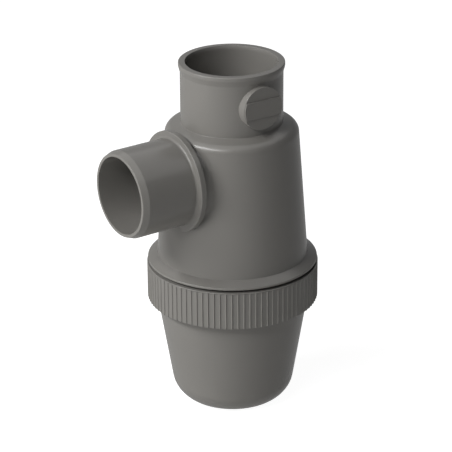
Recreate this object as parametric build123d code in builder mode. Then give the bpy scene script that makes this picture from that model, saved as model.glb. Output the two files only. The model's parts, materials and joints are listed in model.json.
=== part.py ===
from build123d import *
import math
import os

# Basin trap in rigid PVC: a one-piece body, a screwed cup and a flat sealing washer.
# Millimetres. The origin is the centre of the cup's flat underside, +Z is up along the
# body, the outlet points along -X and the round badge faces about -Y.
# Heights named *_z are measured from the underside of the cup.

os.makedirs("parts", exist_ok=True)

# Waste pipe that the trap is glued to at both ends
pipe_r = 20.0
socket_clearance = 0.15

# Inlet socket and its bell rim
socket_depth = 27.5
socket_wall = 3.0
neck_length = 28.3
rim_step = 0.75
rim_lip = 1.7
rim_flare = 2.7
rim_round = 0.5
lead_in_step = 0.75
lead_in_depth = 1.9
neck_root_round = 0.3

# Tapered chamber with its sloping shoulder
shoulder_r = 30.1
shoulder_slope = 16.0
shoulder_round = 4.0
chamber_foot_r = 34.5
chamber_height = 66.6
chamber_wall = 2.5
ceiling_wall = 2.8
ceiling_round = 3.0

# Flange that closes the top of the cup's ring
flange_r = 38.9
flange_edge = 1.0
flange_rise = 2.3
flange_root_round = 0.4
flange_edge_round = 0.4
ring_gap = 1.2

# Dip tube that holds the water seal
dip_bore_r = 17.3
dip_wall = 2.2
dip_root_round = 2.0
water_seal = 52.0

# Outlet spigot with its stop collar
outlet_rise = 44.4
outlet_reach = 60.35
spigot_wall = 2.4
spigot_length = 27.95
spigot_chamfer = 2.95
spigot_chamfer_angle = 20
collar_step = 3.2
collar_width = 2.85
collar_edge_round = 0.35
collar_root_round = 1.1
outlet_root_step = 0.9

# Round badge on the neck, left bare, with a plain raised band
badge_r = 10.0
badge_stand_off = 2.1
badge_drop = 15.1
badge_turn = 88.0
badge_bite = 0.5
badge_edge_round = 0.3
band_height = 8.1
band_rise = 0.45

# Cup: fluted ring and bowl
cup_height = 68.9
cup_wall = 2.5
cup_neck_r = 34.85
cup_floor_r = 26.4
cup_floor_round = 12.6
ring_wall = 3.2
ring_height = 17.6
ring_lip = 0.4
ring_round = 0.3
flute_count = 90
flute_depth = 0.3
flute_flank = 55
flute_turn = 0.65
rib_width = 0.45
mouth_chamfer = 0.4

# Sealing washer, its seat and its pocket in the cup
seat_thickness = 2.7
seat_lip = 0.2
washer_thickness = 2.5
washer_width = 2.6
washer_overhang = 0.3
washer_clearance = 0.3
pocket_rise = 0.4

# Skirt of the body and the screw thread between it and the ring
skirt_r = 34.4
skirt_wall = 2.6
skirt_end_round = 0.3
thread_pitch = 4.0
thread_depth = 1.3
thread_clearance = 0.4
thread_root_width = 2.4
thread_crest_width = 1.3
thread_bite = 0.2
thread_end_margin = 0.4
thread_start_turn = 40.0

# How far a cutting form runs past the face that it opens
past = 1.0

# Heights that follow from the sizes above
ring_bottom_z = cup_height - ring_height
seat_z = ring_bottom_z + seat_thickness
skirt_end_z = seat_z + washer_thickness
pocket_top_z = skirt_end_z + pocket_rise
flange_z = cup_height + ring_gap
flange_top_z = flange_z + flange_edge
flange_root_z = flange_top_z + flange_rise
shoulder_z = flange_z + chamber_height
rim_z = shoulder_z + neck_length
stop_z = rim_z - socket_depth
outlet_z = flange_z + outlet_rise
outlet_bore_r = pipe_r - spigot_wall
dip_end_z = outlet_z - outlet_bore_r - water_seal

# Radii that follow from the sizes above
socket_r = pipe_r + socket_clearance
neck_r = socket_r + socket_wall
rim_r = neck_r + rim_step
dip_r = dip_bore_r + dip_wall
skirt_bore_r = skirt_r - skirt_wall
male_crest_r = skirt_r + thread_depth
female_root_r = male_crest_r + thread_clearance
ring_r = female_root_r + ring_wall
female_crest_r = skirt_r + thread_clearance
washer_r = skirt_r + washer_overhang
washer_bore_r = washer_r - washer_width
pocket_r = washer_r + washer_clearance
seat_bore_r = washer_bore_r - seat_lip

# Middle of each thread ridge at its two ends; the cup's ridge runs half a pitch off
ridge_end = thread_root_width / 2 + thread_end_margin
male_start_z = skirt_end_z + ridge_end
male_end_z = flange_z - ridge_end
female_start_z = male_start_z + thread_pitch / 2
female_end_z = cup_height - ridge_end


def turned_outline(corners):
    """Closed outline of a turned form, from (radius, height, rounding) at each corner."""
    with BuildLine() as outline:
        FilletPolyline(
            *[(radius, height) for radius, height, rounding in corners],
            radius=[rounding for radius, height, rounding in corners],
            close=True,
        )
    make_face(outline.edges())


def thread_ridge(root_r, crest_r, start_z, end_z):
    """One right-hand ridge between two radii, whose middle climbs from start_z to end_z."""
    with BuildPart(mode=Mode.PRIVATE) as ridge:
        with BuildLine(mode=Mode.PRIVATE) as path:
            Helix(pitch=thread_pitch, height=end_z - start_z, radius=root_r, center=(0, 0, start_z))
        with BuildSketch(Plane.XZ):
            with BuildLine():
                Polyline(
                    (root_r, start_z - thread_root_width / 2),
                    (crest_r, start_z - thread_crest_width / 2),
                    (crest_r, start_z + thread_crest_width / 2),
                    (root_r, start_z + thread_root_width / 2),
                    close=True,
                )
            make_face()
        sweep(path=path.line, is_frenet=True)
    return ridge.part.rotate(Axis.Z, thread_start_turn)


# The body is one moulding. Its outside is turned first: bell rim, neck, sloping shoulder,
# tapered chamber, flange, skirt and dip tube.
slope_tan = math.tan(math.radians(shoulder_slope))
shoulder_corner_z = shoulder_z - (shoulder_r - neck_r) * slope_tan
body_outside = [
    (0, rim_z, 0),
    (rim_r, rim_z, rim_round),
    (rim_r, rim_z - rim_lip, 0),
    (neck_r, rim_z - rim_lip - rim_flare, 0),
    (neck_r, shoulder_z, neck_root_round),
    (shoulder_r, shoulder_corner_z, shoulder_round),
    (chamber_foot_r, flange_root_z, flange_root_round),
    (flange_r, flange_top_z, flange_edge_round),
    (flange_r, flange_z, 0),
    (skirt_r, flange_z, 0),
    (skirt_r, skirt_end_z, skirt_end_round),
    (dip_r, skirt_end_z, 0),
    (dip_r, dip_end_z, 0),
    (0, dip_end_z, 0),
]

# Inside of the chamber, round the dip tube. It is open at the skirt's end.
ceiling_r = shoulder_r - chamber_wall
ceiling_z = shoulder_corner_z - ceiling_wall
chamber_inside = [
    (dip_r, skirt_end_z - past, 0),
    (dip_r, ceiling_z + (ceiling_r - dip_r) * slope_tan, dip_root_round),
    (ceiling_r, ceiling_z, ceiling_round),
    (skirt_bore_r, flange_root_z, 0),
    (skirt_bore_r, skirt_end_z - past, 0),
]

# Way for the water: socket with its lead-in, pipe stop and the bore of the dip tube
inlet_inside = [
    (0, rim_z + past, 0),
    (socket_r + lead_in_step, rim_z + past, 0),
    (socket_r + lead_in_step, rim_z, 0),
    (socket_r, rim_z - lead_in_depth, 0),
    (socket_r, stop_z, 0),
    (dip_bore_r, stop_z, 0),
    (dip_bore_r, dip_end_z - past, 0),
    (0, dip_end_z - past, 0),
]

# The outlet is drawn beside its own axis: distance from the body's axis, then radius
collar_front = outlet_reach - spigot_length
collar_back = collar_front - collar_width
collar_r = pipe_r + collar_step
outlet_root_r = pipe_r + outlet_root_step
chamfer_rise = spigot_chamfer * math.tan(math.radians(spigot_chamfer_angle))
outlet_outside = [
    (dip_r, 0, 0),
    (dip_r, outlet_root_r, 0),
    (collar_back, outlet_root_r, 0),
    (collar_back, collar_r, collar_edge_round),
    (collar_front, collar_r, collar_edge_round),
    (collar_front, pipe_r, collar_root_round),
    (outlet_reach - spigot_chamfer, pipe_r, 0),
    (outlet_reach, pipe_r - chamfer_rise, 0),
    (outlet_reach, 0, 0),
]
outlet_side = Plane(origin=(0, 0, outlet_z), x_dir=(-1, 0, 0), z_dir=(0, 1, 0))
outlet_axis = Axis((0, 0, outlet_z), (-1, 0, 0))
# The bore starts in the open chamber, clear of the rounding at the dip tube's root
outlet_start_x = -(dip_r + dip_root_round)
outlet_start = Plane(origin=(outlet_start_x, 0, outlet_z), x_dir=(0, 1, 0), z_dir=(-1, 0, 0))

# The badge's disc starts inside the neck's wall, so that its whole edge stands on the neck
badge_direction = Vector(-1, 0, 0).rotate(Axis.Z, badge_turn)
badge_root = math.sqrt(neck_r**2 - badge_r**2) - badge_bite
badge_face = neck_r + badge_stand_off
badge_plane = Plane(
    origin=badge_direction * badge_root + Vector(0, 0, rim_z - badge_drop),
    x_dir=Vector(0, 0, 1).cross(badge_direction),
    z_dir=badge_direction,
)

with BuildPart() as trap_body:
    with BuildSketch(Plane.XZ):
        turned_outline(body_outside)
    revolve(axis=Axis.Z)

    # Outlet spigot with its collar, and the thicker root that joins it to the chamber
    with BuildSketch(outlet_side):
        turned_outline(outlet_outside)
    revolve(axis=outlet_axis)

    # Badge: a flat disc with a plain band across it
    with BuildSketch(badge_plane):
        Circle(badge_r)
    extrude(amount=badge_face - badge_root)
    disc_face = trap_body.faces().filter_by(GeomType.PLANE).sort_by(Axis((0, 0, 0), badge_direction))[-1]
    fillet(disc_face.edges(), badge_edge_round)
    with BuildSketch(badge_plane):
        Circle(badge_r - badge_edge_round)
        Rectangle(2 * badge_r, band_height, mode=Mode.INTERSECT)
    extrude(amount=badge_face + band_rise - badge_root)

    add(thread_ridge(skirt_r - thread_bite, male_crest_r, male_start_z, male_end_z))

    with BuildSketch(Plane.XZ):
        turned_outline(chamber_inside)
    revolve(axis=Axis.Z, mode=Mode.SUBTRACT)

    with BuildSketch(Plane.XZ):
        turned_outline(inlet_inside)
    revolve(axis=Axis.Z, mode=Mode.SUBTRACT)

    with BuildSketch(outlet_start):
        Circle(outlet_bore_r)
    extrude(amount=outlet_reach, mode=Mode.SUBTRACT)

trap_body.part.label = "trap_body"
export_step(trap_body.part, "parts/trap_body.step")

# The cup is one moulding too: its fluted ring, its bowl and the seat inside between them
cup_taper = math.atan((cup_neck_r - cup_floor_r) / ring_bottom_z)
cup_outside = [
    (0, 0, 0),
    (cup_floor_r, 0, cup_floor_round),
    (cup_neck_r, ring_bottom_z, 0),
    (ring_r, ring_bottom_z, 0),
    (ring_r, cup_height, ring_round),
    (0, cup_height, 0),
]
inner_floor_r = cup_floor_r + cup_wall * math.tan(cup_taper) - cup_wall / math.cos(cup_taper)
cup_inside = [
    (0, cup_wall, 0),
    (inner_floor_r, cup_wall, cup_floor_round - cup_wall),
    (seat_bore_r, seat_z, 0),
    (pocket_r, seat_z, 0),
    (pocket_r, pocket_top_z, 0),
    (female_root_r, pocket_top_z, 0),
    (female_root_r, cup_height - mouth_chamfer, 0),
    (female_root_r + mouth_chamfer, cup_height, 0),
    (female_root_r + mouth_chamfer, cup_height + past, 0),
    (0, cup_height + past, 0),
]

# Each flute is a shallow trough with a flat floor and sloping flanks, and a narrow rib stands between two.
# Its cutter reaches as far out of the ring as into it.
flute_width = 2 * math.pi * ring_r / flute_count - rib_width
flank_run = flute_depth / math.tan(math.radians(flute_flank))

with BuildPart() as cup:
    with BuildSketch(Plane.XZ):
        turned_outline(cup_outside)
    revolve(axis=Axis.Z)

    # The flutes run out at the ring's lower edge and stop under its plain upper lip
    with BuildSketch(Plane.XY.offset(ring_bottom_z - past)):
        with PolarLocations(ring_r, flute_count, start_angle=flute_turn):
            Trapezoid(flute_width + 2 * flank_run, 2 * flute_depth, flute_flank, rotation=90)
    extrude(amount=ring_height - ring_lip + past, mode=Mode.SUBTRACT)

    with BuildSketch(Plane.XZ):
        turned_outline(cup_inside)
    revolve(axis=Axis.Z, mode=Mode.SUBTRACT)

    add(thread_ridge(female_root_r + thread_bite, female_crest_r, female_start_z, female_end_z))

cup.part.label = "cup"
export_step(cup.part, "parts/cup.step")

# Flat washer, held between the cup's seat and the end of the skirt
with BuildPart() as sealing_washer:
    with BuildSketch(Plane.XY.offset(seat_z)):
        Circle(washer_r)
        Circle(washer_bore_r, mode=Mode.SUBTRACT)
    extrude(amount=washer_thickness)

sealing_washer.part.label = "sealing_washer"
export_step(sealing_washer.part, "parts/sealing_washer.step")
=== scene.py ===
# Looks of a basin trap in moulded grey PVC: the body with its outlet, badge and dip tube,
# the screwed cup with its fluted ring, and the washer between them, in a plain studio.
import json
import math

import bmesh
import bpy
from bpy.props import FloatProperty, FloatVectorProperty, IntProperty, PointerProperty
from mathutils import Matrix, Vector


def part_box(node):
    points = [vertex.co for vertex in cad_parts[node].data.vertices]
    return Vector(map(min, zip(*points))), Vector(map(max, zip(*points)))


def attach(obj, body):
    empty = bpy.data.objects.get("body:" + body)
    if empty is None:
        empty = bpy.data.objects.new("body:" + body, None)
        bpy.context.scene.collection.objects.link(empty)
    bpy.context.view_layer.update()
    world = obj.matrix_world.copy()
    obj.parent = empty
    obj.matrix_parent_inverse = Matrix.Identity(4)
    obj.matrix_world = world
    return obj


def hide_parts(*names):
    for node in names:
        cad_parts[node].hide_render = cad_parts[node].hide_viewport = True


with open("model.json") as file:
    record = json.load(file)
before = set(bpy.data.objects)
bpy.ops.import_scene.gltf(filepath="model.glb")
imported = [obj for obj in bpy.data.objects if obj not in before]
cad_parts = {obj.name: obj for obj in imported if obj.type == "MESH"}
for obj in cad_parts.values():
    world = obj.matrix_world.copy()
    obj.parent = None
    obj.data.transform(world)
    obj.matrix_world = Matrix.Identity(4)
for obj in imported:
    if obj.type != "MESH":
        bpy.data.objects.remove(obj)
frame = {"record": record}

bl_info = {
    "name": "Basin Trap",
    "version": (1, 0, 0),
    "blender": (4, 5, 0),
    "location": "View3D > Sidebar > Basin Trap",
    "description": "Models a moulded basin trap with its screwed cup and washer, and a plain studio",
    "category": "Add Mesh",
}

MM = 0.001
UP = Vector((0, 0, 1))
START_WAY = Vector((1, 0, 0))
OUTLET_WAY = Vector((-1, 0, 0))

# Two places closer than this are the same, and a cutting form runs this far past the face it opens
CLOSE = 0.001 * MM
PAST = 1 * MM

# How finely round forms are divided, and from which fold on an edge stays sharp
BODY_STEPS = 192
OUTLET_STEPS = 144
WASHER_STEPS = 180
BADGE_STEPS = 96
SURROUND_STEPS = 48
ARC_STEPS = 3
THREAD_STEP = math.radians(3)
LARGE_ROUND = 1.5 * MM
LARGE_ROUND_SEGMENTS = 10
SMALL_ROUND_SEGMENTS = 4
BAND_SEGMENTS = 2
SHARP_ANGLE = math.radians(32)

# Rows of the soft blend behind the outlet's collar, and how far it sinks into the chamber after them
BLEND_ROWS = 6
BLEND_SINK = 0.4 * MM

# How high the step is in which a flute ends under the ring's lip
FLUTE_END = 0.05 * MM

# The studio's lamps, the values that each of them has, and half the side of the square floor
LAMPS = ("key", "fill", "low")
LAMP_VALUES = ("side", "height", "width", "depth", "power")
FLOOR_HALF = 4.0

# Where the point on the axis at the aim height lies in the photograph, in pixels from its left and top
PHOTO_SIZE = 452
AIM_PIXEL = (232.31, 256.1)

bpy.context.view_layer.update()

# What the packed model already says about the sizes
body_low, body_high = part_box("trap_body")
_, cup_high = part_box("cup")
washer_low, washer_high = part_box("sealing_washer")
mounts = {mount["name"]: mount for mount in frame["record"]["mounts"]}
rim_z = body_high.z
dip_end_z = body_low.z
outlet_reach = -body_low.x
cup_height = cup_high.z
ring_r = cup_high.x
seat_z = washer_low.z
skirt_end_z = washer_high.z
washer_r = washer_high.x
socket_r = mounts["inlet"]["dims"]["r_mm"] * MM
stop_z = mounts["inlet"]["pos_m"][2] - mounts["inlet"]["dims"]["length_mm"] * MM / 2
pipe_r = mounts["outlet"]["dims"]["r_mm"] * MM
outlet_z = mounts["outlet"]["pos_m"][2]


def length(name, description, millimetres):
    """A length that a user can change, with its default given in millimetres."""
    return FloatProperty(
        name=name, description=description, default=millimetres * MM, min=0.0, unit="LENGTH", precision=5
    )


def angle(name, description, degrees):
    """An angle that a user can change, with its default given in degrees."""
    return FloatProperty(
        name=name, description=description, default=math.radians(degrees), unit="ROTATION"
    )


def watts(name, description, power):
    """A lamp's power that a user can change."""
    return FloatProperty(name=name, description=description, default=power, min=0.0, unit="POWER")


def linear_from_hex(code):
    """Linear red, green and blue of an sRGB colour written as #RRGGBB."""
    shares = [int(code[place:place + 2], 16) / 255 for place in (1, 3, 5)]
    return [share / 12.92 if share <= 0.04045 else ((share + 0.055) / 1.055) ** 2.4 for share in shares]


def colour(name, description, code):
    """A colour that a user can change, with its default given as an sRGB hex code."""
    return FloatVectorProperty(
        name=name, description=description, default=linear_from_hex(code), subtype="COLOR",
        min=0.0, max=1.0,
    )


class BodySizes(bpy.types.PropertyGroup):
    """Sizes of the moulded body"""

    socket_wall: length("Socket wall", "Wall of the inlet socket", 3.0)
    rim_step: length("Rim step", "How far the bell rim stands out from the neck", 0.75)
    rim_lip: length("Rim lip", "Height of the upright part of the rim", 1.7)
    rim_flare: length("Rim flare", "Height of the cone under the rim", 2.7)
    rim_round: length("Rim rounding", "Rounding of the rim's outer edge", 0.5)
    lead_in_step: length("Lead-in step", "How much wider the socket's mouth is", 0.75)
    lead_in_depth: length("Lead-in depth", "Depth of the socket's lead-in", 1.9)
    neck_length: length("Neck length", "From the shoulder to the rim", 28.3)
    neck_root_round: length("Neck root rounding", "Rounding between neck and shoulder", 0.2)
    shoulder_r: length("Shoulder radius", "Radius of the chamber at its shoulder", 30.1)
    shoulder_slope: angle("Shoulder slope", "How far the shoulder falls away from level", 16.0)
    shoulder_round: length("Shoulder rounding", "Rounding of the shoulder's edge", 4.0)
    chamber_foot_r: length("Chamber foot radius", "Radius of the chamber at its foot", 34.5)
    chamber_wall: length("Chamber wall", "Wall of the chamber at the shoulder", 2.5)
    ceiling_wall: length("Ceiling wall", "Height between the shoulder and the ceiling inside", 2.8)
    ceiling_round: length("Ceiling rounding", "Rounding between the chamber's wall and its ceiling", 3.0)
    flange_r: length("Flange radius", "Radius of the flange over the ring", 38.9)
    flange_edge: length("Flange edge", "Height of the flange's upright edge", 1.0)
    flange_rise: length("Flange rise", "Height of the flange's cone", 2.3)
    flange_root_round: length("Flange root rounding", "Rounding between chamber and flange", 0.12)
    flange_edge_round: length("Flange edge rounding", "Rounding of the flange's upper edge", 0.4)
    flange_foot_round: length("Flange foot rounding", "Rounding of the flange's lower edge", 0.35)
    ring_gap: length("Ring gap", "Gap between the flange and the cup's ring", 1.2)
    dip_bore_r: length("Dip tube bore", "Inner radius of the dip tube", 17.3)
    dip_wall: length("Dip tube wall", "Wall of the dip tube", 2.2)
    dip_root_round: length("Dip tube root rounding", "Rounding from the dip tube to the ceiling", 2.0)
    skirt_wall: length("Skirt wall", "Wall of the threaded skirt", 2.6)
    edge_round: length("Edge rounding", "Small rounding of the edges that a mould leaves", 0.3)
    blunt_round: length("Blunt rounding", "Rounding of the blunt corners at rim and outlet", 0.8)


class OutletSizes(bpy.types.PropertyGroup):
    """Sizes of the outlet spigot"""

    wall: length("Wall", "Wall of the spigot", 2.4)
    spigot: length("Spigot length", "From the collar to the end", 27.95)
    chamfer: length("Chamfer", "Length of the chamfer at the end", 2.95)
    chamfer_angle: angle("Chamfer angle", "Angle of the chamfer to the outlet's axis", 20.0)
    collar_step: length("Collar step", "How far the collar stands out from the spigot", 3.2)
    collar_width: length("Collar width", "Width of the collar", 2.85)
    collar_edge_round: length("Collar edge rounding", "Rounding of the collar's outer edges", 0.35)
    collar_root_round: length("Collar root rounding", "Rounding in front of the collar", 1.1)
    root_step: length("Root step", "How much thicker the outlet is behind the collar", 0.9)
    root_blend: length("Root blend", "Width of the soft blend between outlet and chamber", 1.1)


class BadgeSizes(bpy.types.PropertyGroup):
    """Sizes of the bare round badge on the neck"""

    radius: length("Radius", "Radius of the badge", 10.0)
    stand_off: length("Stand-off", "From the neck's surface to the badge's face", 2.1)
    drop: length("Drop", "From the rim down to the badge's centre", 15.1)
    turn: angle("Turn", "Angle from the outlet to the badge", 88.0)
    bite: length("Bite", "How deep the badge is rooted in the neck at its edge", 0.5)
    edge_round: length("Edge rounding", "Rounding of the badge's edge", 0.3)
    band_height: length("Band height", "Height of the plain band across the badge", 8.1)
    band_rise: length("Band rise", "How far the band stands out", 0.6)
    band_edge_round: length("Band edge rounding", "Rounding of the band's edge", 0.2)


class CupSizes(bpy.types.PropertyGroup):
    """Sizes of the cup and its fluted ring"""

    wall: length("Wall", "Wall of the bowl", 2.5)
    neck_r: length("Neck radius", "Radius of the bowl under the ring", 34.85)
    floor_r: length("Floor radius", "Radius of the bowl at its floor, before rounding", 26.4)
    floor_round: length("Floor rounding", "Rounding round the floor", 12.6)
    ring_height: length("Ring height", "Height of the fluted ring", 17.6)
    ring_lip: length("Ring lip", "Height of the plain lip above the flutes", 0.4)
    ring_round: length("Ring rounding", "Rounding of the ring's edges", 0.3)
    flute_depth: length("Flute depth", "Depth of a flute", 0.42)
    flute_foot_round: length("Flute foot rounding", "Rounding where a flute's floor meets a rib", 0.36)
    rib_round: length("Rib rounding", "Rounding of a rib's edges", 0.16)
    flute_turn: angle("Flute turn", "Turn of the first flute from +X", 0.65)
    rib_width: length("Rib width", "Width of the flat on top of a rib", 0.05)
    flute_count: IntProperty(name="Flutes", description="Number of flutes", default=90, min=3)
    mouth_chamfer: length("Mouth chamfer", "Chamfer at the ring's mouth", 0.4)
    seat_lip: length("Seat lip", "How far the seat reaches inside the washer", 0.2)
    pocket_rise: length("Pocket rise", "Height of the washer's pocket above the washer", 0.4)
    washer_clearance: length("Washer clearance", "Gap round the washer in its pocket", 0.3)


class WasherSizes(bpy.types.PropertyGroup):
    """Sizes of the washer"""

    width: length("Width", "Width of the washer's flat", 2.6)
    overhang: length("Overhang", "How far the washer stands out past the skirt", 0.3)
    edge_round: length("Edge rounding", "Rounding of the washer's edges", 0.25)


class ThreadSizes(bpy.types.PropertyGroup):
    """Sizes of the screw thread between the skirt and the ring"""

    pitch: length("Pitch", "Climb of the thread in one turn", 4.0)
    depth: length("Depth", "Height of a ridge", 1.3)
    clearance: length("Clearance", "Radial gap in the thread", 0.4)
    root_width: length("Root width", "Width of a ridge at its root", 2.4)
    crest_width: length("Crest width", "Width of a ridge at its crest", 1.3)
    bite: length("Bite", "How far a ridge is rooted in its wall", 0.2)
    end_margin: length("End margin", "From the end of a ridge to the end of its wall", 0.4)
    crest_round: length("Crest rounding", "Rounding of a ridge's crest", 0.2)
    start_turn: angle("Start", "Where the ridges start, from +X", 40.0)
    run_out: angle("Run-out", "Turn in which a ridge rises from its wall", 25.0)


class FinishColours(bpy.types.PropertyGroup):
    """Colours of the materials"""

    pvc: colour("PVC", "Main grey of the moulding", "#7B7975")
    pvc_flow: colour("PVC flow", "Slightly darker grey that drifts through it", "#777571")
    rubber: colour("Rubber", "Washer", "#1B1B1C")
    floor: colour("Floor", "Pale studio floor", "#F2F2F1")


class StudioSetup(bpy.types.PropertyGroup):
    """Where the camera stands and how strong the lamps are"""

    azimuth: angle("Azimuth", "Camera's turn round the trap, from the front", -35.0)
    elevation: angle("Elevation", "Camera's height above the horizon", 24.07)
    roll: angle("Roll", "Camera's roll", -0.26)
    distance: length("Distance", "From the camera to the gap over the ring", 1050.0)
    aim_height: length("Aim height", "Height on the axis that the camera's place is measured from", 69.8)
    lens: FloatProperty(name="Lens", description="Focal length in millimetres", default=181.4, min=1.0)
    lamp_distance: length("Lamp distance", "From the lamps to the trap", 1100.0)
    key_side: angle("Key side", "How far the key lamp stands left of the camera", 60.0)
    key_height: angle("Key height", "Height of the key lamp above the horizon", 40.0)
    key_width: length("Key width", "Width of the key lamp", 1000.0)
    key_depth: length("Key depth", "Upright size of the key lamp", 140.0)
    key_power: watts("Key", "Power of the key lamp", 11.3)
    fill_side: angle("Fill side", "How far the fill lamp stands left of the camera", 20.0)
    fill_height: angle("Fill height", "Height of the fill lamp above the horizon", 40.0)
    fill_width: length("Fill width", "Width of the fill lamp", 280.0)
    fill_depth: length("Fill depth", "Upright size of the fill lamp", 90.0)
    fill_power: watts("Fill", "Power of the fill lamp", 1.1)
    low_side: angle("Low side", "How far the low lamp stands left of the camera", 64.0)
    low_height: angle("Low height", "Height of the low lamp above the horizon", 5.0)
    low_width: length("Low width", "Width of the low lamp", 420.0)
    low_depth: length("Low depth", "Upright size of the low lamp", 420.0)
    low_power: watts("Low", "Power of the low lamp", 3.2)
    surround_r: length("Surround radius", "Radius of the grey tray that only reflections show", 220.0)
    surround_height: length("Surround height", "Height of the grey tray", 300.0)
    sky: FloatProperty(name="Sky", description="Strength of the room's own light", default=0.03, min=0.0)


GROUPS = {
    "trap_body_sizes": BodySizes,
    "trap_outlet_sizes": OutletSizes,
    "trap_badge_sizes": BadgeSizes,
    "trap_cup_sizes": CupSizes,
    "trap_washer_sizes": WasherSizes,
    "trap_thread_sizes": ThreadSizes,
    "trap_colours": FinishColours,
    "trap_studio": StudioSetup,
}


def turn_outline(outline, steps, origin, along, outwards):
    """Bmesh of an outline turned once round an axis; each corner is (radius, height, rounding).

    An outline that starts on the axis also ends there. Any other is closed by its last side.
    """
    form = bmesh.new()
    corners = [
        form.verts.new(origin + outwards * radius + along * height)
        for radius, height, _ in outline
    ]
    sides = list(zip(corners, corners[1:]))
    if outline[0][0] > 0:
        sides.append((corners[-1], corners[0]))
    edges = [form.edges.new(side) for side in sides]
    bmesh.ops.spin(
        form, geom=corners + edges, cent=origin, axis=along, angle=math.tau, steps=steps, use_merge=True
    )
    bmesh.ops.remove_doubles(form, verts=form.verts, dist=CLOSE)
    bmesh.ops.recalc_face_normals(form, faces=form.faces)
    for place, (radius, height, rounding) in enumerate(outline):
        if rounding > 0:
            before = Vector(outline[place - 1][:2]) - Vector((radius, height))
            after = Vector(outline[(place + 1) % len(outline)][:2]) - Vector((radius, height))
            width = rounding / math.tan(before.angle(after) / 2)
            ring = ring_edges(form, origin, along, radius, height)
            segments = LARGE_ROUND_SEGMENTS if rounding > LARGE_ROUND else SMALL_ROUND_SEGMENTS
            round_edges(form, ring, width, segments)
    return form


def ring_edges(form, origin, along, radius, height):
    """The edges of a form that run round an axis at a radius and a height."""

    def on_ring(vert):
        offset = vert.co - origin
        rise = offset.dot(along)
        return abs(rise - height) < CLOSE and abs((offset - along * rise).length - radius) < CLOSE

    return [edge for edge in form.edges if on_ring(edge.verts[0]) and on_ring(edge.verts[1])]


def round_edges(form, edges, width, segments):
    """Rounds edges; width is how far the rounding reaches on each side."""
    bmesh.ops.bevel(
        form, geom=edges, offset=width, offset_type="OFFSET", segments=segments, profile=0.5,
        affect="EDGES", material=-1,
    )


def round_bar(radius, start_z, end_z, steps):
    """A plain round bar about the vertical axis between two heights."""
    form = bmesh.new()
    bmesh.ops.create_cone(
        form, cap_ends=True, segments=steps, radius1=radius, radius2=radius, depth=end_z - start_z,
        matrix=Matrix.Translation(UP * (end_z + start_z) / 2),
    )
    return form


def object_from(form, name):
    """A linked object at the origin that holds a form's mesh."""
    mesh = bpy.data.meshes.new(name)
    form.to_mesh(mesh)
    form.free()
    piece = bpy.data.objects.new(name, mesh)
    bpy.context.scene.collection.objects.link(piece)
    return piece


def join_or_cut(piece, tool_form, operation):
    """Joins a tool to a piece, or cuts it out of the piece, and keeps only the result."""
    tool = object_from(tool_form, "tool")
    step = piece.modifiers.new("step", "BOOLEAN")
    step.operation = operation
    step.solver = "EXACT"
    step.object = tool
    bpy.context.view_layer.update()
    shaped = piece.evaluated_get(bpy.context.evaluated_depsgraph_get())
    old_mesh = piece.data
    result = bpy.data.meshes.new_from_object(shaped)
    piece.modifiers.remove(step)
    piece.data = result
    bpy.data.meshes.remove(old_mesh)
    tool_mesh = tool.data
    bpy.data.objects.remove(tool)
    bpy.data.meshes.remove(tool_mesh)


def merge_doubled_points(mesh):
    """Merges points that cuts have left on one another, so that no face between them is without area."""
    form = bmesh.new()
    form.from_mesh(mesh)
    bmesh.ops.remove_doubles(form, verts=form.verts, dist=CLOSE)
    form.to_mesh(mesh)
    form.free()


def dress(piece, name, material, body, node):
    """Smooths and paints a finished piece, and lets it ride in the place of its node."""
    piece.name = name
    piece.data.name = name
    merge_doubled_points(piece.data)
    piece.data.shade_smooth()
    piece.data.set_sharp_from_angle(angle=SHARP_ANGLE)
    piece.data.materials.clear()
    piece.data.materials.append(material)
    normals = piece.modifiers.new("Weighted normals", "WEIGHTED_NORMAL")
    normals.keep_sharp = True
    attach(piece, body)
    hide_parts(node)


def thread_ridge(sizes, root_r, crest_r, start_z, end_z):
    """One right-hand ridge whose middle climbs from start_z to end_z and fades out at both ends."""
    sweep = (end_z - start_z) / sizes.pitch * math.tau
    steps = round(sweep / THREAD_STEP)
    outwards = Matrix.Rotation(sizes.start_turn, 3, "Z") @ START_WAY
    form = bmesh.new()
    section = [
        form.verts.new(outwards * radius + UP * (start_z + side * width / 2))
        for radius, side, width in (
            (root_r, -1, sizes.root_width),
            (crest_r, -1, sizes.crest_width),
            (crest_r, 1, sizes.crest_width),
            (root_r, 1, sizes.root_width),
        )
    ]
    form.faces.new(section)
    bmesh.ops.bevel(
        form, geom=section[1:3], offset=sizes.crest_round, offset_type="OFFSET", segments=ARC_STEPS,
        profile=0.5, affect="VERTICES", material=-1,
    )
    bmesh.ops.spin(
        form, geom=form.verts[:] + form.edges[:] + form.faces[:], cent=(0, 0, 0), axis=UP,
        dvec=UP * (end_z - start_z) / steps, angle=sweep, steps=steps,
    )
    for vert in form.verts:
        turned = (math.atan2(vert.co.y, vert.co.x) - sizes.start_turn) % math.tau
        turns = round((vert.co.z - start_z - sizes.pitch * turned / math.tau) / sizes.pitch)
        run = turned + math.tau * turns
        share = min(1, max(0, min(run, sweep - run) / sizes.run_out))
        radius = vert.co.xy.length
        vert.co.xy *= (root_r + (radius - root_r) * math.sqrt(share)) / radius
    bmesh.ops.recalc_face_normals(form, faces=form.faces)
    return form


def body_heights(sizes):
    """Heights of the body's flange, shoulder and shoulder corner."""
    flange_z = cup_height + sizes.ring_gap
    shoulder_z = rim_z - sizes.neck_length
    neck_r = socket_r + sizes.socket_wall
    corner_z = shoulder_z - (sizes.shoulder_r - neck_r) * math.tan(sizes.shoulder_slope)
    return flange_z, shoulder_z, corner_z


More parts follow.
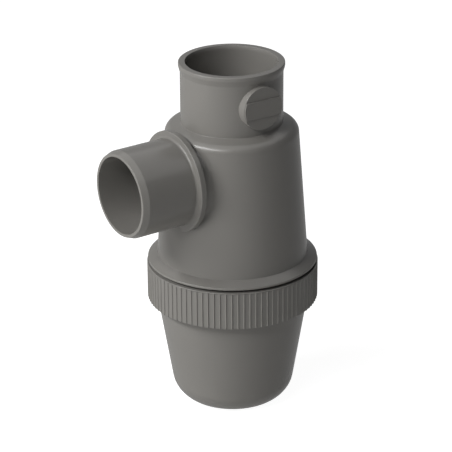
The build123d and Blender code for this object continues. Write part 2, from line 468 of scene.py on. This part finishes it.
def chamber_radius(sizes, height):
    """Outside radius of the chamber and its rounded shoulder at a height."""
    flange_z, shoulder_z, corner_z = body_heights(sizes)
    foot_z = flange_z + sizes.flange_edge + sizes.flange_rise
    corner = Vector((sizes.shoulder_r, corner_z))
    down = (Vector((sizes.chamber_foot_r, foot_z)) - corner).normalized()
    inwards = Vector((-math.cos(sizes.shoulder_slope), math.sin(sizes.shoulder_slope)))
    half = down.angle(inwards) / 2
    reach = sizes.shoulder_round / math.tan(half)
    centre = corner + (down + inwards).normalized() * sizes.shoulder_round / math.sin(half)
    if height < corner_z + down.y * reach:
        return corner.x + down.x * (height - corner_z) / down.y
    if height < corner_z + inwards.y * reach:
        return centre.x + math.sqrt(max(0, sizes.shoulder_round ** 2 - (height - centre.y) ** 2))
    return corner.x + inwards.x * (height - corner_z) / inwards.y


def outlet_form(sizes, outlet):
    """Outside of the outlet, blended softly into the chamber behind its collar."""
    front = outlet_reach - outlet.spigot
    back = front - outlet.collar_width
    collar_r = pipe_r + outlet.collar_step
    root_r = pipe_r + outlet.root_step
    origin = UP * outlet_z
    mouth_r = pipe_r - outlet.chamfer * math.tan(outlet.chamfer_angle)
    outline = [
        (0, outlet_reach, 0),
        (mouth_r, outlet_reach, sizes.edge_round / 2),
        (pipe_r, outlet_reach - outlet.chamfer, sizes.blunt_round),
        (pipe_r, front, outlet.collar_root_round),
        (collar_r, front, outlet.collar_edge_round),
        (collar_r, back, outlet.collar_edge_round),
        (root_r, back, 0),
        (0, back, 0),
    ]
    form = turn_outline(outline, OUTLET_STEPS, origin, OUTLET_WAY, UP)
    at_back = [vert for vert in form.verts if abs(vert.co.x + back) < CLOSE]
    lid = [vert for vert in at_back if (vert.co - origin).yz.length < root_r - CLOSE]
    bmesh.ops.delete(form, geom=lid, context="VERTS")
    edge_loop = ring_edges(form, origin, OUTLET_WAY, root_r, back)

    def surface_x(around, radius):
        """How far out the chamber's surface lies at a point round the outlet's axis."""
        height = outlet_z + radius * around.z
        return math.sqrt(max(0, chamber_radius(sizes, height) ** 2 - (radius * around.y) ** 2))

    def blend_point(around, share):
        """Place along the outlet and radius, at a share of the curve from its root to the chamber."""
        seam = surface_x(around, root_r)
        width = min(outlet.root_blend, max(0, back - seam))
        if width == 0:
            return back, root_r
        start = Vector((seam + width, root_r))
        corner = Vector((seam, root_r))
        end = Vector((surface_x(around, root_r + width), root_r + width))
        point = start * (1 - share) ** 2 + corner * 2 * share * (1 - share) + end * share ** 2
        return point.x, point.y

    # After the rows of the blend, one row sinks into the chamber and one ends at the dip tube
    for row in range(BLEND_ROWS + 3):
        grown = bmesh.ops.extrude_edge_only(form, edges=edge_loop)["geom"]
        for vert in [item for item in grown if isinstance(item, bmesh.types.BMVert)]:
            around = (vert.co - origin) * Vector((0, 1, 1))
            around.normalize()
            x, radius = blend_point(around, min(1, row / BLEND_ROWS))
            if row == BLEND_ROWS + 1:
                x -= BLEND_SINK
            if row == BLEND_ROWS + 2:
                x = sizes.dip_bore_r + sizes.dip_wall
            vert.co = origin + OUTLET_WAY * x + around * radius
        edge_loop = [item for item in grown if isinstance(item, bmesh.types.BMEdge)]
    bmesh.ops.edgeloop_fill(form, edges=edge_loop)
    bmesh.ops.remove_doubles(form, verts=form.verts, dist=CLOSE)
    bmesh.ops.recalc_face_normals(form, faces=form.faces)
    return form


def badge_forms(sizes, badge):
    """The badge's disc and the plain band across it, both rooted in the neck."""
    neck_r = socket_r + sizes.socket_wall
    direction = Matrix.Rotation(badge.turn, 3, "Z") @ OUTLET_WAY
    root = math.sqrt(neck_r ** 2 - badge.radius ** 2) - badge.bite
    face = neck_r + badge.stand_off
    turned = direction.to_track_quat("Z", "Y").to_matrix().to_4x4()
    place = Matrix.Translation(UP * (rim_z - badge.drop)) @ turned
    disc = round_bar(badge.radius, root, face, BADGE_STEPS)
    rim = ring_edges(disc, Vector(), UP, badge.radius, face)
    round_edges(disc, rim, badge.edge_round, SMALL_ROUND_SEGMENTS)
    bmesh.ops.transform(disc, matrix=place, verts=disc.verts)
    band_top = face + badge.band_rise
    band = round_bar(badge.radius - badge.edge_round, root, band_top, BADGE_STEPS)
    for side in (1, -1):
        cut = bmesh.ops.bisect_plane(
            band, geom=band.verts[:] + band.edges[:] + band.faces[:],
            plane_co=(0, side * badge.band_height / 2, 0), plane_no=(0, side, 0), clear_outer=True,
        )["geom_cut"]
        open_edges = [item for item in cut if isinstance(item, bmesh.types.BMEdge)]
        bmesh.ops.edgeloop_fill(band, edges=open_edges)
    bmesh.ops.recalc_face_normals(band, faces=band.faces)
    top_edges = [edge for edge in band.edges if all(abs(v.co.z - band_top) < CLOSE for v in edge.verts)]
    round_edges(band, top_edges, badge.band_edge_round, BAND_SEGMENTS)
    bmesh.ops.transform(band, matrix=place, verts=band.verts)
    return disc, band


class OBJECT_OT_trap_body(bpy.types.Operator):
    """Model the moulded body with its socket, chamber, outlet, badge, skirt and dip tube"""

    bl_idname = "object.trap_body"
    bl_label = "Trap Body"

    def execute(self, context):
        sizes = context.scene.trap_body_sizes
        outlet = context.scene.trap_outlet_sizes
        thread = context.scene.trap_thread_sizes
        flange_z, shoulder_z, corner_z = body_heights(sizes)
        flange_top_z = flange_z + sizes.flange_edge
        foot_z = flange_top_z + sizes.flange_rise
        neck_r = socket_r + sizes.socket_wall
        rim_r = neck_r + sizes.rim_step
        dip_r = sizes.dip_bore_r + sizes.dip_wall
        skirt_r = washer_r - context.scene.trap_washer_sizes.overhang
        skirt_bore_r = skirt_r - sizes.skirt_wall
        outside = [
            (0, rim_z, 0),
            (rim_r, rim_z, sizes.rim_round),
            (rim_r, rim_z - sizes.rim_lip, sizes.blunt_round),
            (neck_r, rim_z - sizes.rim_lip - sizes.rim_flare, sizes.blunt_round),
            (neck_r, shoulder_z, sizes.neck_root_round),
            (sizes.shoulder_r, corner_z, sizes.shoulder_round),
            (sizes.chamber_foot_r, foot_z, sizes.flange_root_round),
            (sizes.flange_r, flange_top_z, sizes.flange_edge_round),
            (sizes.flange_r, flange_z, sizes.flange_foot_round),
            (skirt_r, flange_z, 0),
            (skirt_r, skirt_end_z, sizes.edge_round),
            (dip_r, skirt_end_z, 0),
            (dip_r, dip_end_z, 0),
            (0, dip_end_z, 0),
        ]
        ceiling_r = sizes.shoulder_r - sizes.chamber_wall
        ceiling_z = corner_z - sizes.ceiling_wall
        ceiling_top_z = ceiling_z + (ceiling_r - dip_r) * math.tan(sizes.shoulder_slope)
        chamber = [
            (dip_r, skirt_end_z - PAST, 0),
            (dip_r, ceiling_top_z, sizes.dip_root_round),
            (ceiling_r, ceiling_z, sizes.ceiling_round),
            (skirt_bore_r, foot_z, 0),
            (skirt_bore_r, skirt_end_z - PAST, 0),
        ]
        inlet = [
            (0, rim_z + PAST, 0),
            (socket_r + sizes.lead_in_step, rim_z + PAST, 0),
            (socket_r + sizes.lead_in_step, rim_z, 0),
            (socket_r, rim_z - sizes.lead_in_depth, 0),
            (socket_r, stop_z, 0),
            (sizes.dip_bore_r, stop_z, 0),
            (sizes.dip_bore_r, dip_end_z - PAST, 0),
            (0, dip_end_z - PAST, 0),
        ]
        bore = [
            (0, dip_r, 0),
            (pipe_r - outlet.wall, dip_r, 0),
            (pipe_r - outlet.wall, outlet_reach + PAST, 0),
            (0, outlet_reach + PAST, 0),
        ]
        ridge_end = thread.root_width / 2 + thread.end_margin
        piece = object_from(turn_outline(outside, BODY_STEPS, Vector(), UP, START_WAY), "trap")
        join_or_cut(piece, outlet_form(sizes, outlet), "UNION")
        for form in badge_forms(sizes, context.scene.trap_badge_sizes):
            join_or_cut(piece, form, "UNION")
        ridge = thread_ridge(
            thread, skirt_r - thread.bite, skirt_r + thread.depth,
            skirt_end_z + ridge_end, flange_z - ridge_end,
        )
        join_or_cut(piece, ridge, "UNION")
        for inside in (chamber, inlet):
            join_or_cut(piece, turn_outline(inside, BODY_STEPS, Vector(), UP, START_WAY), "DIFFERENCE")
        join_or_cut(piece, turn_outline(bore, OUTLET_STEPS, UP * outlet_z, OUTLET_WAY, UP), "DIFFERENCE")
        dress(piece, "moulded_body", moulded_pvc(context.scene), "trap", "trap_body")
        return {"FINISHED"}


def flute_stations(sizes):
    """Angle and radius of the points over one flute: its floor, the rise to the next rib and back."""
    pitch = math.tau / sizes.flute_count
    floor_r = ring_r - sizes.flute_depth
    rib, foot = sizes.rib_round, sizes.flute_foot_round
    flank = math.acos(1 - sizes.flute_depth / (rib + foot))
    mouth = (ring_r * pitch - sizes.rib_width) / 2
    turns = [flank * share / ARC_STEPS for share in range(ARC_STEPS + 1)]
    foot_middle = mouth - (rib + foot) * math.sin(flank)
    floor_arc = [
        (foot_middle + foot * math.sin(turn), floor_r + foot * (1 - math.cos(turn)))
        for turn in turns
    ]
    rib_arc = [
        (mouth - rib * math.sin(turn), ring_r - rib * (1 - math.cos(turn)))
        for turn in reversed(turns[1:-1])
    ]
    there = [(aside / ring_r, radius) for aside, radius in floor_arc + rib_arc]
    back = [(pitch - off, radius) for off, radius in reversed(there)]
    return [(0, floor_r)] + there + [(pitch / 2, ring_r)] + back


class OBJECT_OT_trap_cup(bpy.types.Operator):
    """Model the cup with its fluted ring, the seat for the washer and the thread inside"""

    bl_idname = "object.trap_cup"
    bl_label = "Trap Cup"

    def execute(self, context):
        sizes = context.scene.trap_cup_sizes
        thread = context.scene.trap_thread_sizes
        skirt_r = washer_r - context.scene.trap_washer_sizes.overhang
        ring_bottom_z = cup_height - sizes.ring_height
        flute_top_z = cup_height - sizes.ring_lip
        taper = math.atan((sizes.neck_r - sizes.floor_r) / ring_bottom_z)
        floor_r = sizes.floor_r + sizes.wall * math.tan(taper) - sizes.wall / math.cos(taper)
        seat_bore_r = washer_r - context.scene.trap_washer_sizes.width - sizes.seat_lip
        pocket_r = washer_r + sizes.washer_clearance
        pocket_z = skirt_end_z + sizes.pocket_rise
        root_r = skirt_r + thread.depth + thread.clearance
        crest_r = skirt_r + thread.clearance
        section = [
            (0, 0, 0),
            (sizes.floor_r, 0, sizes.floor_round),
            (sizes.neck_r, ring_bottom_z, 0),
            (ring_r, ring_bottom_z, sizes.ring_round),
            (ring_r, flute_top_z, 0),
            (ring_r, flute_top_z + FLUTE_END, 0),
            (ring_r, cup_height, sizes.ring_round),
            (root_r + sizes.mouth_chamfer, cup_height, 0),
            (root_r, cup_height - sizes.mouth_chamfer, 0),
            (root_r, pocket_z, 0),
            (pocket_r, pocket_z, 0),
            (pocket_r, seat_z, 0),
            (seat_bore_r, seat_z, 0),
            (floor_r, sizes.wall, sizes.floor_round - sizes.wall),
            (0, sizes.wall, 0),
        ]
        stations = flute_stations(sizes)
        steps = len(stations) * sizes.flute_count
        form = turn_outline(section, steps, Vector(), UP, START_WAY)
        pitch = math.tau / sizes.flute_count
        ring_middle_r = (sizes.neck_r + ring_r) / 2
        for vert in form.verts:
            radius = vert.co.xy.length
            step = round(math.atan2(vert.co.y, vert.co.x) / math.tau * steps)
            off, groove = stations[step % len(stations)]
            turned = sizes.flute_turn + step // len(stations) * pitch + off
            if radius > ring_middle_r and vert.co.z < flute_top_z + CLOSE:
                radius = min(radius, groove)
            vert.co.xy = Vector((math.cos(turned), math.sin(turned))) * radius
        ridge_end = thread.root_width / 2 + thread.end_margin
        ridge = thread_ridge(
            thread, root_r + thread.bite, crest_r,
            skirt_end_z + ridge_end + thread.pitch / 2, cup_height - ridge_end,
        )
        piece = object_from(form, "cup")
        join_or_cut(piece, ridge, "UNION")
        dress(piece, "moulded_cup", moulded_pvc(context.scene), "cup", "cup")
        return {"FINISHED"}


class OBJECT_OT_trap_washer(bpy.types.Operator):
    """Model the flat washer between the cup's seat and the skirt"""

    bl_idname = "object.trap_washer"
    bl_label = "Sealing Washer"

    def execute(self, context):
        sizes = context.scene.trap_washer_sizes
        section = [
            (radius, height, sizes.edge_round)
            for radius, height in (
                (washer_r - sizes.width, seat_z),
                (washer_r, seat_z),
                (washer_r, skirt_end_z),
                (washer_r - sizes.width, skirt_end_z),
            )
        ]
        piece = object_from(turn_outline(section, WASHER_STEPS, Vector(), UP, START_WAY), "washer")
        rubber = moulded_rubber(context.scene)
        dress(piece, "flat_washer", rubber, "washer", "sealing_washer")
        return {"FINISHED"}


def add_node(tree, kind, settings=None, inputs=None):
    """A shader node with its settings, and its inputs given as plain values or as sockets to link."""
    node = tree.nodes.new(kind)
    for name, value in (settings or {}).items():
        setattr(node, name, value)
    for name, value in (inputs or {}).items():
        if isinstance(value, bpy.types.NodeSocket):
            tree.links.new(value, node.inputs[name])
        else:
            node.inputs[name].default_value = value
    return node


def empty_material(name):
    """A new material whose node tree is empty, and that tree."""
    material = bpy.data.materials.new(name)
    material.use_nodes = True
    material.node_tree.nodes.clear()
    return material, material.node_tree


def grey(share):
    """An even grey, from 0 for black to 1 for white."""
    return share, share, share, 1


def moulded_pvc(scene):
    """Rigid PVC, injection moulded in a lightly textured tool: an even satin grey."""
    if "moulded_rigid_pvc" in bpy.data.materials:
        return bpy.data.materials["moulded_rigid_pvc"]
    material, tree = empty_material("moulded_rigid_pvc")
    grain_width = 0.45 * MM
    grain_depth = 0.008 * MM
    flow_width = 22 * MM
    flow_depth = 0.03 * MM
    place = add_node(tree, "ShaderNodeTexCoord").outputs["Object"]
    grain = add_node(
        tree, "ShaderNodeTexNoise", {"noise_dimensions": "3D"},
        {"Vector": place, "Scale": 1 / grain_width, "Detail": 3.0, "Roughness": 0.6},
    )
    flow = add_node(
        tree, "ShaderNodeTexNoise", {"noise_dimensions": "3D"},
        {"Vector": place, "Scale": 1 / flow_width, "Detail": 2.0, "Roughness": 0.5, "Distortion": 0.6},
    )
    tint = add_node(
        tree, "ShaderNodeMix", {"data_type": "RGBA"},
        {
            "Factor": flow.outputs["Fac"],
            "A": (*scene.trap_colours.pvc, 1),
            "B": (*scene.trap_colours.pvc_flow, 1),
        },
    )
    gloss = add_node(
        tree, "ShaderNodeMapRange", None,
        {"Value": flow.outputs["Fac"], "To Min": 0.21, "To Max": 0.265},
    )
    waves = add_node(
        tree, "ShaderNodeBump", None,
        {"Height": flow.outputs["Fac"], "Distance": flow_depth, "Strength": 0.5},
    )
    bumps = add_node(
        tree, "ShaderNodeBump", None,
        {
            "Height": grain.outputs["Fac"], "Distance": grain_depth, "Strength": 0.6,
            "Normal": waves.outputs["Normal"],
        },
    )
    shader = add_node(
        tree, "ShaderNodeBsdfPrincipled", None,
        {
            "Base Color": tint.outputs["Result"], "Roughness": gloss.outputs["Result"],
            "IOR": 1.53, "Normal": bumps.outputs["Normal"],
        },
    )
    add_node(tree, "ShaderNodeOutputMaterial", None, {"Surface": shader.outputs["BSDF"]})
    return material


def moulded_rubber(scene):
    """EPDM rubber, pressed in a mould: deep black, matt, with a faint bloom."""
    material, tree = empty_material("moulded_epdm_rubber")
    grain_width = 0.5 * MM
    grain_depth = 0.02 * MM
    place = add_node(tree, "ShaderNodeTexCoord").outputs["Object"]
    grain = add_node(
        tree, "ShaderNodeTexNoise", None, {"Vector": place, "Scale": 1 / grain_width, "Detail": 3.0},
    )
    gloss = add_node(
        tree, "ShaderNodeMapRange", None,
        {"Value": grain.outputs["Fac"], "To Min": 0.55, "To Max": 0.75},
    )
    bumps = add_node(
        tree, "ShaderNodeBump", None,
        {"Height": grain.outputs["Fac"], "Distance": grain_depth, "Strength": 0.6},
    )
    shader = add_node(
        tree, "ShaderNodeBsdfPrincipled", None,
        {
            "Base Color": (*scene.trap_colours.rubber, 1), "Roughness": gloss.outputs["Result"],
            "IOR": 1.52, "Normal": bumps.outputs["Normal"],
        },
    )
    add_node(tree, "ShaderNodeOutputMaterial", None, {"Surface": shader.outputs["BSDF"]})
    return material


def seen_directly(tree):
    """Socket that is 1 for rays from the camera, from a reflection or through glass."""
    light_path = add_node(tree, "ShaderNodeLightPath")
    shiny = add_node(
        tree, "ShaderNodeMath", {"operation": "MAXIMUM"},
        {0: light_path.outputs["Is Glossy Ray"], 1: light_path.outputs["Is Transmission Ray"]},
    )
    seen = add_node(
        tree, "ShaderNodeMath", {"operation": "MAXIMUM"},
        {0: light_path.outputs["Is Camera Ray"], 1: shiny.outputs[0]},
    )
    return seen.outputs[0]


def floor_paint(scene):
    """Matt white paint on the studio floor. It glows for the camera, so that it looks pure white."""
    material, tree = empty_material("matt_white_paint")
    matt = add_node(tree, "ShaderNodeBsdfDiffuse", None, {"Color": (*scene.trap_colours.floor, 1)})
    dim = add_node(tree, "ShaderNodeBsdfDiffuse", None, {"Color": grey(0.4)})
    glow = add_node(tree, "ShaderNodeEmission", None, {"Color": grey(1), "Strength": 0.96})
    bright = add_node(tree, "ShaderNodeAddShader", None, {0: dim.outputs[0], 1: glow.outputs[0]})
    mixed = add_node(
        tree, "ShaderNodeMixShader", None,
        {0: seen_directly(tree), 1: matt.outputs[0], 2: bright.outputs[0]},
    )
    add_node(tree, "ShaderNodeOutputMaterial", None, {"Surface": mixed.outputs[0]})
    return material


def grey_card():
    """Matt grey card, lit evenly all over."""
    material, tree = empty_material("matt_grey_card")
    even = add_node(tree, "ShaderNodeEmission", None, {"Color": grey(0.37), "Strength": 1.0})
    add_node(tree, "ShaderNodeOutputMaterial", None, {"Surface": even.outputs[0]})
    return material


def grey_surround(radius, height):
    """A grey tray round the trap that only its reflections show, so that its sides end dark."""
    form = round_bar(radius, CLOSE, height + CLOSE, SURROUND_STEPS)
    lid = [face for face in form.faces if face.normal.z > 0.5]
    bmesh.ops.delete(form, geom=lid, context="FACES_ONLY")
    tray = object_from(form, "surround")
    tray.data.materials.append(grey_card())
    tray.visible_camera = False
    tray.visible_diffuse = False
    tray.visible_transmission = False
    tray.visible_shadow = False


def soft_lamp(name, place, aim, width, depth, power):
    """A soft box that points at a place."""
    lamp = bpy.data.lights.new(name, "AREA")
    lamp.shape = "RECTANGLE"
    lamp.size = width
    lamp.size_y = depth
    lamp.energy = power
    holder = bpy.data.objects.new(name, lamp)
    holder.location = place
    holder.rotation_euler = (aim - place).to_track_quat("-Z", "Y").to_euler()
    bpy.context.scene.collection.objects.link(holder)


def sight(azimuth, elevation):
    """Direction from the trap to something seen at an azimuth from the front and at an elevation."""
    level = Matrix.Rotation(azimuth, 3, "Z") @ Vector((0, -1, 0))
    return level * math.cos(elevation) + UP * math.sin(elevation)


def place_camera(holder, place, back, studio):
    """Puts the camera in its place, turned so that the aimed point falls where the photograph has it."""
    pixels = studio.lens / bpy.data.cameras["camera"].sensor_width * PHOTO_SIZE
    aside = math.atan((AIM_PIXEL[0] - PHOTO_SIZE / 2) / pixels)
    below = math.atan((AIM_PIXEL[1] - PHOTO_SIZE / 2) / pixels)
    shift = Matrix.Rotation(aside, 4, "Y") @ Matrix.Rotation(below, 4, "X")
    turn = shift @ Matrix.Rotation(studio.roll, 4, "Z")
    look = (-back).to_track_quat("-Z", "Y").to_matrix().to_4x4()
    holder.matrix_world = Matrix.Translation(place) @ look @ turn


class SCENE_OT_trap_studio(bpy.types.Operator):
    """Set up a pale floor, soft lamps, a white background and the camera"""

    bl_idname = "scene.trap_studio"
    bl_label = "Studio"

    def execute(self, context):
        scene = context.scene
        studio = scene.trap_studio
        ground = bmesh.new()
        bmesh.ops.create_grid(ground, x_segments=1, y_segments=1, size=FLOOR_HALF)
        floor = object_from(ground, "floor")
        floor.data.materials.append(floor_paint(scene))

        grey_surround(studio.surround_r, studio.surround_height)

        world = bpy.data.worlds.new("studio")
        world.use_nodes = True
        tree = world.node_tree
        tree.nodes.clear()
        room = add_node(tree, "ShaderNodeBackground", None, {"Color": grey(1), "Strength": studio.sky})
        white = add_node(tree, "ShaderNodeBackground", None, {"Color": grey(1), "Strength": 1.0})
        both = add_node(
            tree, "ShaderNodeMixShader", None,
            {0: seen_directly(tree), 1: room.outputs[0], 2: white.outputs[0]},
        )
        add_node(tree, "ShaderNodeOutputWorld", None, {"Surface": both.outputs[0]})
        scene.world = world

        aim = UP * studio.aim_height
        back = sight(studio.azimuth, studio.elevation)
        for lamp in LAMPS:
            side, height, width, depth, power = [
                getattr(studio, f"{lamp}_{value}") for value in LAMP_VALUES
            ]
            way = sight(studio.azimuth - side, height)
            soft_lamp(f"{lamp}_lamp", aim + way * studio.lamp_distance, aim, width, depth, power)

        camera = bpy.data.cameras.new("camera")
        camera.lens = studio.lens
        holder = bpy.data.objects.new("camera", camera)
        scene.collection.objects.link(holder)
        place_camera(holder, aim + back * studio.distance, back, studio)
        scene.camera = holder
        scene.view_settings.view_transform = "Standard"
        return {"FINISHED"}


class VIEW3D_PT_basin_trap(bpy.types.Panel):
    """Lists the steps and the sizes of the basin trap"""

    bl_label = "Basin Trap"
    bl_space_type = "VIEW_3D"
    bl_region_type = "UI"
    bl_category = "Basin Trap"

    def draw(self, context):
        for operator in OPERATORS:
            self.layout.operator(operator.bl_idname)
        for name, group in GROUPS.items():
            box = self.layout.box()
            box.label(text=group.__doc__)
            for size in group.__annotations__:
                box.prop(getattr(context.scene, name), size)


OPERATORS = (OBJECT_OT_trap_body, OBJECT_OT_trap_cup, OBJECT_OT_trap_washer, SCENE_OT_trap_studio)


def register():
    for shown in (*GROUPS.values(), *OPERATORS, VIEW3D_PT_basin_trap):
        bpy.utils.register_class(shown)
    for name, group in GROUPS.items():
        setattr(bpy.types.Scene, name, PointerProperty(type=group))


def unregister():
    for name in GROUPS:
        delattr(bpy.types.Scene, name)
    for shown in (VIEW3D_PT_basin_trap, *reversed(OPERATORS), *reversed(GROUPS.values())):
        bpy.utils.unregister_class(shown)


def main():
    """Models every piece and the studio."""
    register()
    bpy.ops.object.trap_body()
    bpy.ops.object.trap_cup()
    bpy.ops.object.trap_washer()
    bpy.ops.scene.trap_studio()


if __name__ == "__main__":
    main()
